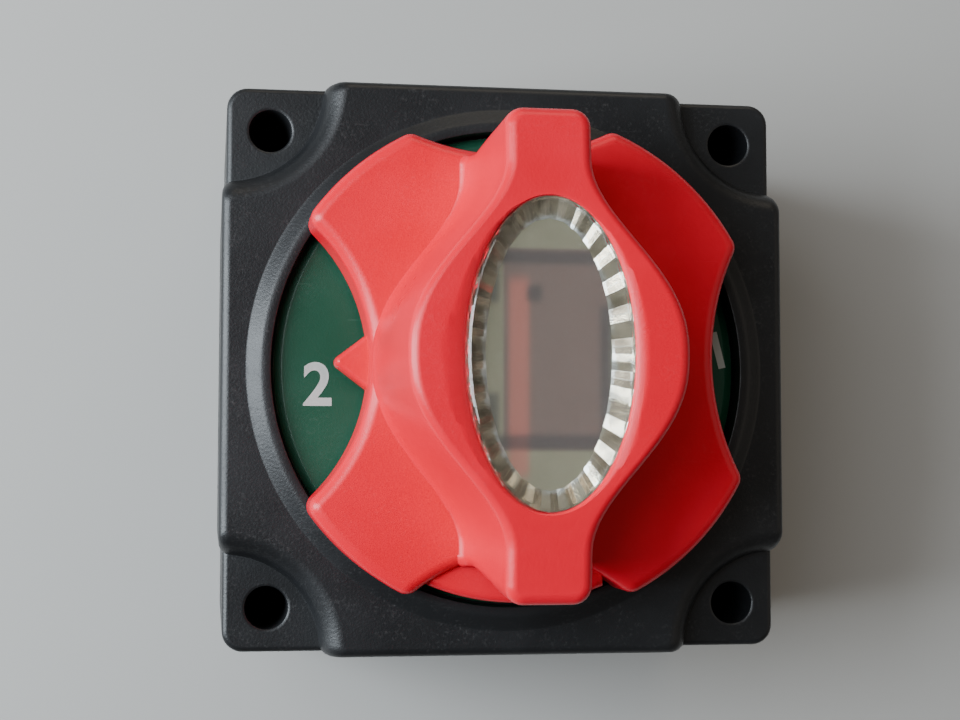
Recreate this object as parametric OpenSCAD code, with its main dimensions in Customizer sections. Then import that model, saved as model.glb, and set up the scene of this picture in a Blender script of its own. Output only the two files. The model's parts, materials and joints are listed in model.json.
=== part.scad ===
// Four-position battery selector switch for a boat, 69 mm square, with a turning knob.
// Origin: centre of the back (mounting) face. +Z: out of the panel, along the knob's axis.
// At rest the pointer is at -X, on position 2, and the handle lies along Y.

/* [Housing] */
// Width of the square housing across its mid-side faces
housing_w = 69; // [66:0.5:72]
// Height of the front face above the mounting face
face_z = 49; // [47:0.5:52]
// How far the mid-side faces stand proud of the corner ears
side_proud = 0.5; // [0.3:0.1:0.8]
// Depth of the corner pockets below the front face
pocket_d = 3.6; // [3:0.1:4]
// Distance between the mounting holes, along X and Y
hole_spacing = 57.5; // [56:0.5:58.5]
// Diameter of the mounting holes
hole_d = 5; // [4:0.1:5.5]

/* [Dial] */
// Radius of the recess that holds the dial plate
recess_r = 28.6; // [28.4:0.1:29]
// Height of the raised collar round the dial, above the front face
dial_collar_h = 1; // [0.6:0.1:1.2]
// Radius of the dial plate
dial_r = 28.3; // [27.5:0.1:28.6]
// Thickness of the dial plate
dial_t = 1.5; // [1.2:0.1:1.8]

/* [Knob] */
// Outer radius of the four wings
wing_r = 29.8; // [29:0.1:30.5]
// Height of the wings, from their lower edge
wing_h = 7.5; // [6.5:0.5:8]
// Overall height of the switch, to the top of the knob's lens
overall_h = 76.5; // [75:0.5:78]
// Half-width of the handle at its middle, at the top edge
handle_mid = 15.1; // [14:0.1:15.5]
// Half-width of the handle near its ends, at the top edge
handle_tip = 4.5; // [4:0.1:5]
// Half-length of the handle at the top edge
handle_end = 26.6; // [26:0.1:27.5]
// How far the handle's top falls from its middle to its ends
handle_crown = 1.5; // [0:0.1:2]
// Half-width of the clear lens
lens_half_w = 9.1; // [8.5:0.1:9.5]
// Half-length of the clear lens
lens_half_l = 16.8; // [16:0.1:17.5]

/* [Mechanism] */
// Diameter of the shaft in the front bearing
shaft_d = 12; // [11:0.5:12.5]
// Diameter of the terminal studs
stud_d = 10; // [8:1:10]
// Distance of each battery contact from the axis, along X and along Y
contact_offset = 13; // [12.5:0.1:13.5]
// Distance of the common contact from the axis
common_offset = 16; // [15.5:0.1:17]

/* [Hidden] */
$fn = 96;
half_w = housing_w / 2;
ear_half = half_w - side_proud;
ear_z = face_z - pocket_d;
ear_corner_r = 2.5;
hole_pos = hole_spacing / 2;

// Levels of the stack, from the mounting face up
rear_t = 2.5;
plate_low_z = 21;
seam_z = 26;
ceiling_z = 43;
recess_z = face_z - 2.5;
boss_top_z = face_z + 0.5;
knob_low_z = face_z + 1.5;
wing_top_z = knob_low_z + wing_h;
handle_top_z = overall_h - 0.5;

// Housing details
wall_t = 2.8;
bulge_half = 19.8;
bulge_ramp = 1.2;
pocket_low_r = 12.2;
pocket_high_r = 14.4;
edge_chamfer = 0.8;
cavity_r = 26.5;
boss_r = 10;
fit_gap = 0.05;
run_gap = 0.3;
bite = 0.1;
cover_half = 15;
cover_t = 2.5;
cable_r = 6.5;
cable_z = 11;
cable_x = 7.3;
screw_x = 20;
screw_y = 28.9;
seal_in_r = 27.4;
seal_out_r = 29;
seal_h = 1.6;

// Terminals and contacts
stud_r = stud_d / 2;
stud_tip_z = 4.5;
washer_t = 2;
spring_washer_t = 2.2;
nut_t = 8;
nut_flats = 17;
contact_top_z = seam_z + 1.7;
battery_1 = [-contact_offset, -contact_offset];
battery_2 = [contact_offset, -contact_offset];
common = [0, common_offset];
STUDS = [battery_1, battery_2, common];

// Rotor levels
bridge_low_z = contact_top_z + run_gap;
bridge_t = 2;
carrier_low_z = bridge_low_z + bridge_t;
carrier_h = 6;
carrier_r = 23.5;
spring_room_h = 3.5;
cam_low_z = carrier_low_z + carrier_h;
cam_h = 4.7;
cam_r = 12;
notch_r = 2.2;
collar_r = 8.5;
thrust_t = 0.5;
collar_top_z = ceiling_z - thrust_t - run_gap;
shaft_r = shaft_d / 2;
drive_flat = shaft_r - 1.2;
pivot_r = 4;
tang_r = 5.5;
tang_flat = 4.2;
tang_top_z = 60.5;
well_floor_z = 62.5;
screw_r = 2.5;
oring_r = 0.7;
leaf_t = 0.6;
leaf_x = cam_r + 1.6;
leaf_low_z = cam_low_z + 0.8;
leaf_h = 3;
leaf_end_y = 14;

// Knob details
left_cut = [-39, 21.5];
right_cut = [43.7, 21.5];
knob_wall = 2.4;
handle_blend = 21;
lens_low_z = overall_h - 3.3;
card_t = 0.6;

black = [0.13, 0.14, 0.15];
red = [0.86, 0.17, 0.15];
green = [0.12, 0.33, 0.26];
steel = [0.72, 0.73, 0.75];
copper = [0.78, 0.47, 0.30];
rubber = [0.08, 0.08, 0.08];

// ---- shapes used by several pieces ----

// One quarter of the housing's outline, from the mid-side on +X to the mid-side on +Y
function outline_quarter() = concat(
    [[half_w, 0], [half_w, bulge_half], [ear_half, bulge_half + bulge_ramp]],
    [for (a = [0:15:90]) [ear_half - ear_corner_r * (1 - cos(a)),
                          ear_half - ear_corner_r * (1 - sin(a))]],
    [[bulge_half + bulge_ramp, ear_half], [bulge_half, half_w]]);

// Plan outline: corner ears set in behind slightly proud mid-sides
module housing_outline() {
    for (a = [0:90:270]) {
        rotate(a) polygon(concat([[0, 0]], outline_quarter(), [[0, half_w]]));
    }
}

// Repeats its children at the four corners
module at_corners(x, y) {
    for (sx = [-1, 1], sy = [-1, 1]) {
        translate([sx * x, sy * y, 0]) children();
    }
}

module mounting_holes(low_z, high_z) {
    at_corners(hole_pos, hole_pos) translate([0, 0, low_z - bite])
        cylinder(d = hole_d, h = high_z - low_z + 2 * bite, $fn = 48);
}

module ring(outer_r, inner_r, h) {
    difference() {
        cylinder(r = outer_r, h = h);
        translate([0, 0, -bite]) cylinder(r = inner_r, h = h + 2 * bite);
    }
}

// Round bar with two flats, in the X direction
module double_d(r, flat, h) {
    intersection() {
        cylinder(r = r, h = h);
        translate([-flat, -r - 1, 0]) cube([2 * flat, 2 * r + 2, h]);
    }
}

// Points of an oval with half-axes a and b
function oval_points(a, b) = [for (t = [0:6:354]) [a * cos(t), b * sin(t)]];

// ---- fixed pieces ----

module front_housing() {
    color(black) difference() {
        union() {
            difference() {
                union() {
                    translate([0, 0, seam_z]) linear_extrude(face_z - seam_z) housing_outline();
                    translate([0, 0, face_z - 0.5]) cylinder(r = recess_r + 2.8, h = 0.5);
                    translate([0, 0, face_z])
                        cylinder(r1 = recess_r + 2.8, r2 = recess_r + 1.1, h = dial_collar_h);
                }
                corner_pockets();
                top_edge_chamfers();
                translate([0, 0, recess_z]) cylinder(r = recess_r, h = 5);
                translate([0, 0, seam_z - bite]) cylinder(r = cavity_r, h = ceiling_z - seam_z + bite);
                body_seal_groove();
            }
            translate([0, 0, recess_z - bite]) cylinder(r = boss_r, h = boss_top_z - recess_z + bite);
            leaf_anchors();
        }
        translate([0, 0, ceiling_z - bite]) cylinder(r = shaft_r + fit_gap, h = 8);
        mounting_holes(seam_z, face_z);
        at_corners(screw_x, screw_y) translate([0, 0, seam_z - bite])
            cylinder(r = 1.75 + fit_gap, h = 12, $fn = 32);
    }
}

module corner_pockets() {
    at_corners(ear_half, ear_half) translate([0, 0, ear_z])
        cylinder(r1 = pocket_low_r, r2 = pocket_high_r + 0.06, h = pocket_d + bite);
}

module top_edge_chamfers() {
    for (a = [0:90:270]) {
        rotate(a) translate([half_w, -half_w, face_z]) rotate([0, 45, 0])
            translate([-edge_chamfer / sqrt(2), 0, -edge_chamfer / sqrt(2)])
                cube([3, housing_w, edge_chamfer * sqrt(2)]);
    }
}

module body_seal_groove() {
    translate([0, 0, seam_z - bite]) ring(seal_out_r, seal_in_r, seal_h / 2 + bite);
}

// Slotted pegs under the housing's ceiling that hold the ends of the two leaf springs
module leaf_anchors() {
    for (sx = [-1, 1], sy = [-1, 1]) {
        translate([sx * leaf_x, sy * leaf_end_y, 0]) difference() {
            translate([-2, -2, cam_low_z + 0.5]) cube([4, 4, ceiling_z - cam_low_z]);
            translate([-leaf_t / 2 - fit_gap, -3, cam_low_z])
                cube([leaf_t + 2 * fit_gap, 6, leaf_low_z + leaf_h - cam_low_z + fit_gap]);
        }
    }
}

module contact_base() {
    color(black) difference() {
        union() {
            translate([0, 0, plate_low_z]) linear_extrude(seam_z - plate_low_z) housing_outline();
            corner_walls();
            at_corners(hole_pos, hole_pos) translate([0, 0, rear_t])
                cylinder(r = 4.9, h = plate_low_z - rear_t + bite);
            translate([-1.2, -28, 9]) cube([2.4, 24, plate_low_z - 9 + bite]);
        }
        mounting_holes(rear_t, seam_z);
        at_corners(screw_x, screw_y) translate([0, 0, plate_low_z - bite])
            cylinder(r = 1.75 + fit_gap, h = 6, $fn = 32);
        for (p = STUDS) {
            translate([p[0], p[1], plate_low_z - bite]) cylinder(r = stud_r + fit_gap, h = 6);
            translate([p[0], p[1], plate_low_z - bite]) cylinder(r = stud_r + 1.6, h = 1.5 + bite);
        }
        translate([0, 0, seam_z - 3.7]) cylinder(r = pivot_r + fit_gap, h = 4);
        translate([0, 0, seam_z - seal_h / 2]) ring(seal_out_r, seal_in_r, seal_h);
    }
}

// L-shaped walls at the corners, between the four openings for the side covers
module corner_walls() {
    inner = ear_half - wall_t + side_proud;
    difference() {
        translate([0, 0, rear_t]) linear_extrude(plate_low_z - rear_t + bite) housing_outline();
        translate([-inner, -inner, rear_t - bite]) cube([2 * inner, 2 * inner, 30]);
        for (a = [0, 90]) {
            rotate(a) translate([-half_w - 1, -cover_half, rear_t - bite])
                cube([housing_w + 2, 2 * cover_half, 30]);
        }
    }
}

module rear_cover() {
    color(black) difference() {
        union() {
            linear_extrude(rear_t) housing_outline();
            for (a = [0:90:270]) {
                rotate(a) translate([28.6, -14, rear_t - bite]) cube([1.2, 28, 1.4 + bite]);
            }
        }
        mounting_holes(0, rear_t);
    }
}

// Snap-in plate for the opening on the +X side, with a wider flange behind it
module cover_plate() {
    low_z = rear_t + 1.5;
    h = plate_low_z - low_z - 0.2;
    translate([half_w - cover_t, -cover_half + 0.15, rear_t + bite])
        cube([cover_t, 2 * cover_half - 0.3, plate_low_z - rear_t - 0.2]);
    translate([half_w - wall_t - 0.5, -cover_half + 0.5, low_z]) cube([1, 2 * cover_half - 1, h]);
    translate([half_w - wall_t - 1.6, -cover_half - 2, low_z]) cube([1.5, 2 * cover_half + 4, h]);
}

// Plain cover with grip grooves
module side_cover() {
    color(black) difference() {
        cover_plate();
        for (z = [6:3:18]) {
            translate([half_w - 0.5, -9, z - 0.6]) cube([2, 18, 1.2]);
        }
    }
}

// Cover with round cable entries at the given places along its width
module cable_cover(entries) {
    color(black) difference() {
        cover_plate();
        for (y = entries) {
            translate([half_w - 6, y, cable_z]) rotate([0, 90, 0]) cylinder(r = cable_r, h = 8);
        }
    }
}

module side_cover_right() {
    side_cover();
}

module side_cover_left() {
    rotate(180) side_cover();
}

module cable_cover_top() {
    rotate(90) cable_cover([0]);
}

module cable_cover_bottom() {
    rotate(-90) cable_cover([-cable_x, cable_x]);
}

module dial_plate() {
    rim = 1;
    color(green) difference() {
        union() {
            translate([0, 0, recess_z]) cylinder(r = dial_r, h = dial_t - 0.6);
            translate([0, 0, recess_z + dial_t - 0.6]) cylinder(r1 = dial_r, r2 = dial_r - rim, h = 0.6);
        }
        translate([0, 0, recess_z - bite]) cylinder(r = boss_r + 0.2, h = dial_t + 1);
    }
}

module terminal_stud(p, head) {
    top_z = head ? seam_z : contact_top_z;
    color(copper) {
        translate([p[0], p[1], stud_tip_z + 0.8]) cylinder(r = stud_r, h = top_z - stud_tip_z - 0.8);
        translate([p[0], p[1], stud_tip_z]) cylinder(r1 = stud_r - 0.8, r2 = stud_r, h = 0.8);
        if (head) {
            translate([p[0], p[1], seam_z]) cylinder(r = 6.6, h = contact_top_z - seam_z);
        }
    }
}

module terminal_stud_1() {
    terminal_stud(battery_1, true);
}

module terminal_stud_2() {
    terminal_stud(battery_2, true);
}

module terminal_stud_common() {
    terminal_stud(common, false);
}

// Slip ring round the shaft with a tab to the common stud
module common_contact() {
    color(copper) translate([0, 0, seam_z]) difference() {
        union() {
            cylinder(r = 10.4, h = contact_top_z - seam_z);
            translate([-5, 0, 0]) cube([10, common_offset, contact_top_z - seam_z]);
            translate([common[0], common[1], 0]) cylinder(r = 7.4, h = contact_top_z - seam_z);
        }
        translate([0, 0, -bite]) cylinder(r = 5, h = 3);
        translate([common[0], common[1], -bite]) cylinder(r = stud_r + fit_gap, h = 3);
    }
}

module stud_seals() {
    color(rubber) for (p = STUDS) {
        translate([p[0], p[1], plate_low_z + 0.75]) rotate_extrude()
            translate([stud_r + 0.8, 0]) circle(r = oring_r, $fn = 24);
    }
}

module flat_washers() {
    color(steel) for (p = STUDS) {
        translate([p[0], p[1], plate_low_z - washer_t]) ring(8.2, stud_r + 0.25, washer_t);
    }
}

// Split ring, its slot cut at a slant
module spring_washers() {
    z = plate_low_z - washer_t - spring_washer_t;
    color(steel) for (p = STUDS) {
        translate([p[0], p[1], z]) difference() {
            ring(8, stud_r + 0.2, spring_washer_t);
            rotate(40) translate([6.5, 0, spring_washer_t / 2]) rotate([25, 0, 0])
                translate([-3, -0.4, -3]) cube([6, 0.8, 6]);
        }
    }
}

module stud_nuts() {
    z = plate_low_z - washer_t - spring_washer_t - nut_t;
    color(steel) for (p = STUDS) {
        translate([p[0], p[1], z]) difference() {
            intersection() {
                cylinder(d = nut_flats / cos(30), h = nut_t, $fn = 6);
                translate([0, 0, -0.35]) cylinder(r1 = nut_flats / 2, r2 = nut_flats / 2 + 4, h = 5);
            }
            translate([0, 0, -bite]) cylinder(r = stud_r + fit_gap, h = nut_t + 1);
        }
        translate([p[0], p[1], z + 4]) difference() {
            cylinder(d = nut_flats / cos(30), h = nut_t - 4, $fn = 6);
            translate([0, 0, -bite]) cylinder(r = stud_r + fit_gap, h = nut_t);
        }
    }
}

module assembly_screws() {
    color(steel) at_corners(screw_x, screw_y) difference() {
        union() {
            translate([0, 0, plate_low_z]) cylinder(r = 1.75, h = 16, $fn = 32);
            translate([0, 0, plate_low_z - 1.4]) cylinder(r = 2.6, h = 1.4, $fn = 32);
        }
        for (a = [0, 90]) {
            translate([0, 0, plate_low_z - 1.5]) rotate(a) translate([-1.4, -0.35, 0]) cube([2.8, 0.7, 0.9]);
        }
    }
}

module body_seal() {
    color(rubber) translate([0, 0, seam_z - seal_h / 2]) ring(seal_out_r, seal_in_r, seal_h);
}

// Two leaf springs, each with a rounded nose that drops into a notch of the cam
module detent_springs() {
    color(steel) for (side = [0, 180]) {
        rotate(side) translate([leaf_x, 0, leaf_low_z]) {
            difference() {
                translate([-leaf_t / 2, -leaf_end_y - 1.5, 0]) cube([leaf_t, 2 * leaf_end_y + 3, leaf_h]);
                translate([-2, -1.3, -bite]) cube([4, 2.6, leaf_h + 1]);
            }
            difference() {
                cylinder(r = 1.9, h = leaf_h, $fn = 48);
                translate([0, 0, -bite]) cylinder(r = 1.3, h = leaf_h + 1, $fn = 48);
                translate([leaf_t / 2, -3, -bite]) cube([4, 6, leaf_h + 1]);
            }
        }
    }
}

module thrust_washer() {
    color(steel) translate([0, 0, ceiling_z - thrust_t]) ring(9.4, shaft_r + 0.3, thrust_t);
}

// ---- pieces that turn with the knob ----

module drive_shaft() {
    groove_z = 45;
    color(steel) difference() {
        union() {
            translate([0, 0, seam_z - 3.4]) cylinder(r = pivot_r, h = bridge_low_z - seam_z + 3.5);
            translate([0, 0, bridge_low_z]) double_d(shaft_r, drive_flat, collar_top_z - bridge_low_z);
            translate([0, 0, cam_low_z + cam_h])
                cylinder(r = collar_r, h = collar_top_z - cam_low_z - cam_h);
            translate([0, 0, collar_top_z]) cylinder(r = shaft_r, h = boss_top_z - collar_top_z + 0.3);
            translate([0, 0, boss_top_z]) double_d(tang_r, tang_flat, tang_top_z - boss_top_z);
        }
        translate([0, 0, groove_z]) ring(shaft_r + 1, shaft_r - 2 * oring_r, 2.2);
        translate([0, 0, tang_top_z - 12]) cylinder(r = screw_r + fit_gap, h = 13, $fn = 48);
    }
}

module shaft_seal() {
    color(rubber) translate([0, 0, 46.1]) rotate_extrude()
        translate([shaft_r - oring_r, 0]) circle(r = oring_r, $fn = 24);
}

module detent_cam() {
    color("white") translate([0, 0, cam_low_z]) difference() {
        cylinder(r = cam_r, h = cam_h);
        translate([0, 0, -bite]) double_d(shaft_r + fit_gap, drive_flat + fit_gap, cam_h + 1);
        for (a = [0:90:270]) {
            rotate(a) translate([leaf_x, 0, -bite]) cylinder(r = notch_r, h = cam_h + 1, $fn = 48);
        }
    }
}

module contact_carrier() {
    color(black) difference() {
        union() {
            translate([0, 0, carrier_low_z]) cylinder(r = carrier_r, h = carrier_h);
            drive_pegs(1.4, carrier_low_z - 1.4, 2);
        }
        translate([0, 0, carrier_low_z - bite])
            double_d(shaft_r + fit_gap, drive_flat + fit_gap, carrier_h + 1);
        translate([0, 0, carrier_low_z - bite]) cylinder(r = 10.5, h = spring_room_h + bite);
    }
}

module drive_pegs(r, low_z, h) {
    for (a = [-38, 38]) {
        rotate(a) translate([16.5, 0, low_z]) cylinder(r = r, h = h, $fn = 32);
    }
}

// Hub ring with one broad arm: it spans both battery contacts, one of them or neither
module contact_bridge() {
    color(copper) difference() {
        union() {
            translate([0, 0, bridge_low_z]) cylinder(r = 10.4, h = bridge_t);
            translate([0, 0, bridge_low_z]) intersection() {
                cylinder(r = 22, h = bridge_t);
                linear_extrude(bridge_t)
                    polygon([[0, 0], [40 * cos(57), -40 * sin(57)], [60, 0], [40 * cos(57), 40 * sin(57)]]);
            }
        }
        translate([0, 0, bridge_low_z - bite]) double_d(shaft_r + 0.15, drive_flat + 0.15, bridge_t + 1);
        drive_pegs(1.5, bridge_low_z - bite, bridge_t + 1);
    }
}

// Coil spring that presses the bridge onto the contacts
module contact_spring() {
    turns = 3;
    coil_r = 8.3;
    wire_r = 0.45;
    sides = 8;
    steps = turns * 24;
    low = carrier_low_z + wire_r;
    rise = spring_room_h - 2 * wire_r;
    rings = [for (i = [0:steps]) [for (j = [0:sides - 1])
        let (t = 360 * turns * i / steps, w = 360 * j / sides, r = coil_r + wire_r * cos(w))
        [r * cos(t), r * sin(t), low + rise * i / steps + wire_r * sin(w)]]];
    points = [for (r = rings) for (p = r) p];
    walls = [for (i = [0:steps - 1]) for (j = [0:sides - 1])
        let (a = i * sides + j, b = i * sides + (j + 1) % sides)
        [a, a + sides, b + sides, b]];
    caps = [[for (j = [0:sides - 1]) j], [for (j = [sides - 1:-1:0]) steps * sides + j]];
    color(steel) polyhedron(points, concat(walls, caps), convexity = 8);
}

// Half-width of the handle at y: wide round the lens, narrowing into two straight ends
function handle_half(y, mid, tip) =
    tip + (mid - tip) * (abs(y) < handle_blend ? pow(cos(90 * pow(abs(y) / handle_blend, 1.2)), 2) : 0);

// Right-hand edge of the handle's outline, bottom to top, with rounded corners
function handle_edge(mid, tip, end_low, end_high, r) = concat(
    [for (a = [-90:30:0]) [tip - r + r * cos(a), -end_low + r + r * sin(a)]],
    [for (y = [-21:1.5:21]) [handle_half(y, mid, tip), y]],
    [for (a = [0:30:90]) [tip - r + r * cos(a), end_high - r + r * sin(a)]]);

// One outline as a ring of points. Its ends dip by up to the given crown.
function handle_ring(s) = let (e = handle_edge(s[1], s[2], s[3], s[4], s[5])) concat(
    [for (p = e) [p[0], p[1], s[0] - s[6] * pow(p[1] / handle_end, 2)]],
    [for (i = [len(e) - 1:-1:0]) [-e[i][0], e[i][1], s[0] - s[6] * pow(e[i][1] / handle_end, 2)]]);

// Handle: outlines from the foot fillet to the rounded top edge, skinned together.
// Each row holds height, half-width at the middle, half-width at the ends, the two
// half-lengths, the corner radius and the crown.
module handle() {
    m = handle_mid;
    t = handle_tip;
    e = handle_end;
    c = handle_crown;
    z0 = wing_top_z;
    z1 = handle_top_z;
    rows = [[z0 - 1.5, m + 2.3, t + 2.9, e - 3.7, e - 2.4, 1.2, 0],
            [z0 + 0.2, m + 2.1, t + 2.4, e - 3.6, e - 2.3, 1.2, 0],
            [z0 + 1.4, m + 1.7, t + 1.9, e - 3.3, e - 2.1, 1.2, 0],
            [z0 + 4.5, m + 1.3, t + 1.5, e - 2.5, e - 1.5, 1.4, 0],
            [z1 - 5.0, m + 0.5, t + 0.6, e - 0.6, e - 0.3, 1.8, c],
            [z1 - 1.6, m + 0.1, t + 0.2, e - 0.1, e - 0.1, 1.9, c],
            [z1 - 0.6, m - 0.3, t - 0.2, e - 0.3, e - 0.3, 1.7, c],
            [z1, m - 1.3, t - 1.1, e - 1.2, e - 1.2, 1.3, c]];
    rings = [for (s = rows) handle_ring(s)];
    n = len(rings[0]);
    last = len(rings) - 1;
    top = last * n;
    points = [for (r = rings) for (p = r) p];
    walls = [for (i = [0:last - 1]) for (j = [0:n - 1])
        let (a = i * n + j, b = i * n + (j + 1) % n) [a, a + n, b + n, b]];
    foot = [[for (j = [0:n - 1]) j]];
    crown = [for (j = [0:n / 2 - 2]) [top + n - 1 - j, top + n - 2 - j, top + j + 1, top + j]];
    polyhedron(points, concat(walls, foot, crown), convexity = 6);
}

// Disc of four wings: deep finger cut-out on the pointer side, shallower one opposite
module wings() {
    rim = 0.9;
    difference() {
        union() {
            translate([0, 0, knob_low_z]) cylinder(r = wing_r, h = wing_h - rim);
            translate([0, 0, wing_top_z - rim]) cylinder(r1 = wing_r, r2 = wing_r - rim, h = rim);
        }
        for (cut = [left_cut, right_cut]) {
            translate([cut[0], 0, knob_low_z - bite]) cylinder(r = cut[1], h = wing_h + 1);
        }
        translate([0, 0, knob_low_z - bite]) linear_extrude(wing_h + 1)
            polygon([[-14, 32], [-13.8, 27], [-5.6, 24.9], [5.6, 24.9], [11, 27.4], [11.2, 32]]);
        translate([0, 0, knob_low_z - bite]) linear_extrude(wing_h + 1)
            polygon([[-12.4, -32], [-12.4, -26.8], [-10, -25.6], [10, -25.6], [11.7, -26.6], [11.7, -32]]);
    }
}

// Step that joins the two lower wings under the end of the handle
module lower_ledge() {
    intersection() {
        translate([0, 0, knob_low_z]) cylinder(r = 28, h = wing_h - 1.5);
        translate([-9.6, -30, knob_low_z]) cube([19.2, 6, wing_h]);
    }
}

module pointer() {
    translate([0, 0, knob_low_z]) linear_extrude(3.2) polygon([[-21.3, 0.3], [-16, 4.6], [-16, -4.2]]);
}

// Hollow under the wings, leaving the hub and an even wall
module underside() {
    h = wing_h - knob_wall;
    difference() {
        translate([0, 0, knob_low_z - bite]) cylinder(r = wing_r - knob_wall, h = h + bite);
        for (cut = [left_cut, right_cut]) {
            translate([cut[0], 0, knob_low_z - 1]) cylinder(r = cut[1] + knob_wall, h = h + 2);
        }
        for (sy = [-1, 1]) {
            translate([-17, sy * 27.4 - 5, knob_low_z - 1]) cube([34, 10, h + 2]);
        }
        translate([0, 0, knob_low_z - 1]) cylinder(r = boss_r, h = h + 2);
    }
    for (sy = [-1, 1]) {
        translate([-2.6, sy * 16.2 - 4.2, knob_low_z - bite]) cube([5.2, 8.4, 17]);
    }
}

module knob() {
    color(red) difference() {
        union() {
            wings();
            lower_ledge();
            pointer();
            handle();
        }
        underside();
        translate([0, 0, knob_low_z - bite])
            double_d(tang_r + fit_gap, tang_flat + fit_gap, tang_top_z - knob_low_z + bite);
        translate([0, 0, tang_top_z - bite]) cylinder(r = screw_r + 0.3, h = 4, $fn = 48);
        translate([0, 0, well_floor_z]) cylinder(r = 6.6, h = lens_low_z - card_t - well_floor_z);
        translate([0, 0, lens_low_z - card_t - bite]) linear_extrude(6)
            polygon(oval_points(lens_half_w + fit_gap, lens_half_l + fit_gap));
    }
}

module knob_washer() {
    color(steel) translate([0, 0, well_floor_z]) ring(5.6, screw_r + 0.2, 0.8);
}

module knob_screw() {
    low = tang_top_z - 9;
    head_z = well_floor_z + 0.8;
    color(steel) difference() {
        union() {
            translate([0, 0, low]) cylinder(r = screw_r, h = head_z - low, $fn = 48);
            translate([0, 0, head_z]) cylinder(r = 4.4, h = 1.8);
            translate([0, 0, head_z + 1.8]) cylinder(r1 = 4.4, r2 = 3.4, h = 0.9);
        }
        for (a = [0, 90]) {
            rotate(a) translate([-2.5, -0.5, head_z + 1]) cube([5, 1, 3]);
        }
    }
}

module label_card() {
    color([0.52, 0.48, 0.44]) translate([0, 0, lens_low_z - card_t])
        linear_extrude(card_t) polygon(oval_points(lens_half_w - 0.2, lens_half_l - 0.2));
}

module knob_lens() {
    bevel = 1.6;
    color([0.85, 0.88, 0.86, 0.4]) {
        translate([0, 0, lens_low_z]) linear_extrude(1.7)
            polygon(oval_points(lens_half_w, lens_half_l));
        hull() {
            translate([0, 0, lens_low_z + 1.7]) linear_extrude(0.01)
                polygon(oval_points(lens_half_w, lens_half_l));
            translate([0, 0, overall_h - 0.01]) linear_extrude(0.01)
                polygon(oval_points(lens_half_w - bevel, lens_half_l - bevel));
        }
    }
}

front_housing();
contact_base();
rear_cover();
side_cover_left();
side_cover_right();
cable_cover_top();
cable_cover_bottom();
dial_plate();
terminal_stud_1();
terminal_stud_2();
terminal_stud_common();
common_contact();
stud_seals();
flat_washers();
spring_washers();
stud_nuts();
assembly_screws();
body_seal();
detent_springs();
thrust_washer();
drive_shaft();
shaft_seal();
detent_cam();
contact_carrier();
contact_bridge();
contact_spring();
knob();
knob_washer();
knob_screw();
label_card();
knob_lens();
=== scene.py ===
import json
import math

import bmesh
import bpy
from mathutils import Matrix, Vector


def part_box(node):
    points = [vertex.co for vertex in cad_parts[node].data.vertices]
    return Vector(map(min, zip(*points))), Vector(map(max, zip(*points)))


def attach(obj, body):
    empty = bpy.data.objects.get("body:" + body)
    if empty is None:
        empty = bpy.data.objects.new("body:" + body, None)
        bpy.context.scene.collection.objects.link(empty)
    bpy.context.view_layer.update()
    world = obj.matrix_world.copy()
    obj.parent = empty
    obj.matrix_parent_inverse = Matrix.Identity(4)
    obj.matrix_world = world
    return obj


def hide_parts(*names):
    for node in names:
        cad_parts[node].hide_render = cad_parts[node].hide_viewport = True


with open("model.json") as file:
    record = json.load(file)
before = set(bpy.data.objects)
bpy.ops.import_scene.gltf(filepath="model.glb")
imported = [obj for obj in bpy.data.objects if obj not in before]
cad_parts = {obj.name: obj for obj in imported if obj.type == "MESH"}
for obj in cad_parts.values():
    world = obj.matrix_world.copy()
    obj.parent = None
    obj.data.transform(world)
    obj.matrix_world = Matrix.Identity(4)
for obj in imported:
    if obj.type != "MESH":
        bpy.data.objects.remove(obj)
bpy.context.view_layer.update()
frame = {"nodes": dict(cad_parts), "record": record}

# ---------------------------------------------------------------- camera
# A camera held about 20 cm above the face, a little to the left of the knob's axis and
# below it, and looking almost straight down.
mm = 0.001
front_low, front_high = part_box("front_housing")
collar_height = 1.0 * mm
face_z = front_high.z - collar_height
camera = bpy.data.objects.new("camera", bpy.data.cameras.new("camera"))
bpy.context.scene.collection.objects.link(camera)
bpy.context.scene.camera = camera
camera.data.sensor_width = 36
camera.data.lens = 64.5
camera.data.clip_start = 0.01
camera.location = (-35.4 * mm, -12.4 * mm, face_z + 204.5 * mm)
camera.rotation_euler = [math.radians(a) for a in (3.67, -8.86, 0.07)]

# ---------------------------------------------------------------- studio
# A plain pale table top and soft light: a window-like panel and a high sky panel on the
# left, weak warm ones behind and on the right, and a dim overall glow.
floor_bm = bmesh.new()
bmesh.ops.create_grid(floor_bm, x_segments=1, y_segments=1, size=1.5)
floor_mesh = bpy.data.meshes.new("floor")
floor_bm.to_mesh(floor_mesh)
floor_bm.free()
floor = bpy.data.objects.new("floor", floor_mesh)
bpy.context.scene.collection.objects.link(floor)
floor_paint = bpy.data.materials.new("pale_table")
floor_paint.use_nodes = True
floor_skin = floor_paint.node_tree.nodes["Principled BSDF"]
floor_skin.inputs["Base Color"].default_value = (0.40, 0.39, 0.375, 1)
floor_skin.inputs["Roughness"].default_value = 0.85
floor_mesh.materials.append(floor_paint)


def panel_light(name, place, target, size, power, colour):
    lamp = bpy.data.lights.new(name, "AREA")
    lamp.shape = "RECTANGLE"
    lamp.size, lamp.size_y = size
    lamp.energy = power
    lamp.color = colour
    holder = bpy.data.objects.new(name, lamp)
    holder.location = place
    holder.rotation_euler = (Vector(target) - Vector(place)).to_track_quat("-Z", "Y").to_euler()
    bpy.context.scene.collection.objects.link(holder)


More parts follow.
